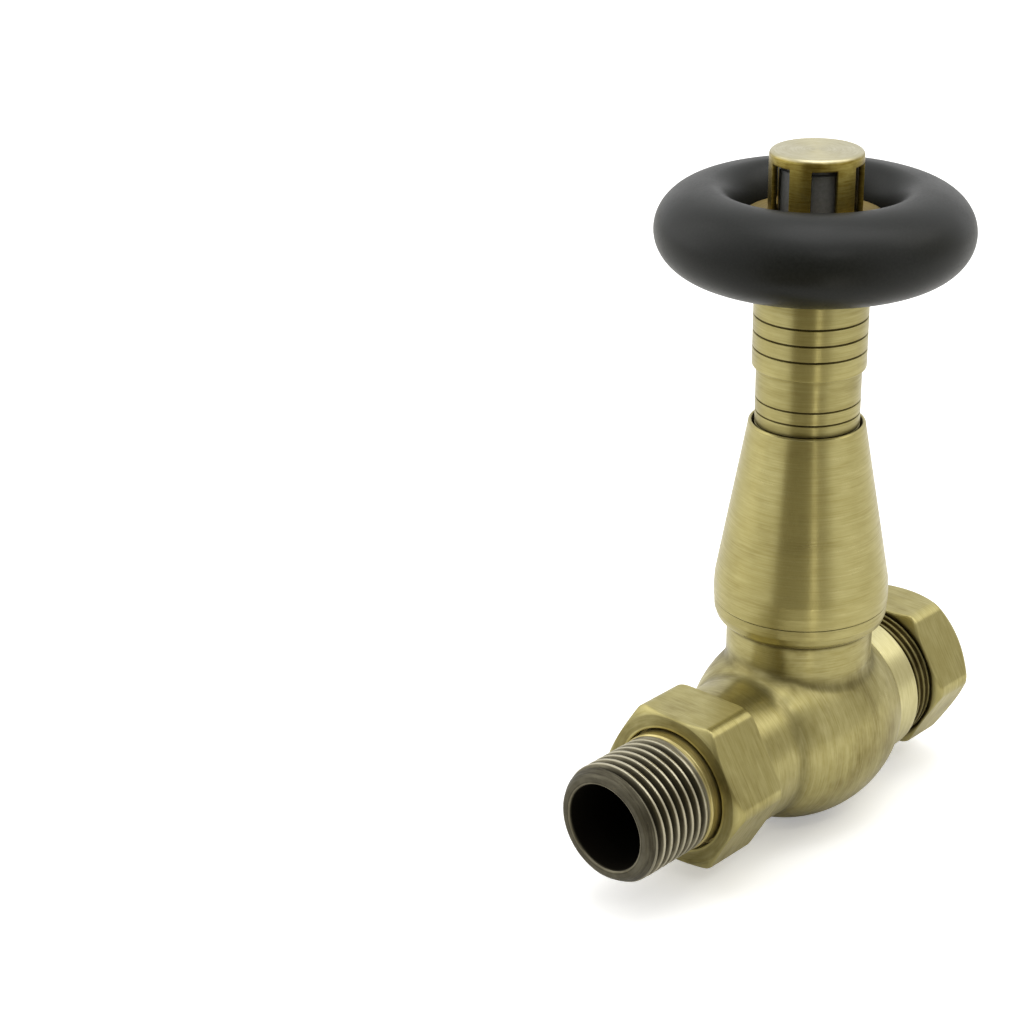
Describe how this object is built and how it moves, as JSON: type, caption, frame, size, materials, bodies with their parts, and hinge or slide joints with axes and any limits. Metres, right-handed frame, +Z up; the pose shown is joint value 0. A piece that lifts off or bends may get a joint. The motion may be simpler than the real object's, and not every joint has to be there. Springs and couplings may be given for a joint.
{
  "type": "thermostatic radiator valve",
  "caption": "Straight thermostatic radiator valve: round brass body with hex union and compression nuts, cone cover, ribbed sleeves, windowed cap and black handwheel.",
  "frame": {"origin": "valve centre point, where the port axis and the spindle axis cross", "axes": "+Z up the spindle to the handwheel, +X along the port axis out of the pipe socket; the radiator tail points to -X"},
  "size_m": [0.0886, 0.0532, 0.1219],
  "materials": {
    "antique_brass": "brushed antique brass plate",
    "dark_brass": "darkened brass thread",
    "bright_brass": "turned brass",
    "black_handwheel": "satin black",
    "grey_plastic": "moulded, satin",
    "ivory_plastic": "moulded",
    "seal_rubber": "matte",
    "stainless_steel": "drawn"
  },
  "bodies": {
    "valve": {"valve_body": "antique_brass", "valve_insert": "bright_brass", "insert_o_ring": "seal_rubber", "gland_nut": "bright_brass", "gland_o_ring": "seal_rubber", "return_spring": "stainless_steel", "spring_seat": "bright_brass", "head_union_ring": "antique_brass", "lower_sleeve": "antique_brass", "cone_shroud": "antique_brass", "shroud_spacer": "ivory_plastic", "rod_guide": "ivory_plastic"},
    "tail_piece": {"radiator_tail": "dark_brass", "tail_o_ring": "seal_rubber"},
    "union_nut_body": {"union_nut": "antique_brass"},
    "olive_body": {"olive": "bright_brass"},
    "compression_nut_body": {"compression_nut": "antique_brass"},
    "spindle": {"valve_pin": "stainless_steel", "pin_collar": "stainless_steel", "disc_holder": "bright_brass", "disc_washer": "seal_rubber"},
    "sensor": {"sensor_capsule": "grey_plastic", "capsule_seat": "ivory_plastic", "push_rod": "stainless_steel", "overtravel_spring": "stainless_steel"},
    "wheel": {"handwheel": "black_handwheel", "wheel_hub": "bright_brass", "windowed_cap": "antique_brass", "upper_sleeve": "antique_brass"}
  },
  "joints": [
    {"name": "head_lift", "type": "slide", "parent": "valve", "child": "sensor", "axis": [0, 0, 1], "range_m": [-0.003, 0]},
    {"name": "wheel_turn", "type": "hinge", "parent": "sensor", "child": "wheel", "pos_m": [0, 0, 0.091], "axis": [0, 0, 1], "range_deg": [-300, 0]},
    {"name": "spindle_lift", "type": "slide", "parent": "valve", "child": "spindle", "axis": [0, 0, 1], "range_m": [-0.003, 0], "deforming": ["return_spring"]},
    {"name": "union_draw", "type": "slide", "parent": "valve", "child": "tail_piece", "axis": [-1, 0, 0], "range_m": [0, 0.006]},
    {"name": "union_nut_turn", "type": "hinge", "parent": "tail_piece", "child": "union_nut_body", "pos_m": [-0.029, 0, 0], "axis": [-1, 0, 0], "range_deg": [0, 1440]},
    {"name": "olive_draw", "type": "slide", "parent": "valve", "child": "olive_body", "axis": [1, 0, 0], "range_m": [0, 0.006]},
    {"name": "compression_nut_turn", "type": "hinge", "parent": "olive_body", "child": "compression_nut_body", "pos_m": [0.029, 0, 0], "axis": [1, 0, 0], "range_deg": [0, 1440]}
  ],
  "couplings": [
    {"joint": "wheel_turn", "follows": "head_lift", "rad_per_m": 1745.3},
    {"joint": "spindle_lift", "follows": "head_lift", "ratio": 1},
    {"joint": "union_nut_turn", "follows": "union_draw", "rad_per_m": 4188.8},
    {"joint": "compression_nut_turn", "follows": "olive_draw", "rad_per_m": 4188.8}
  ]
}
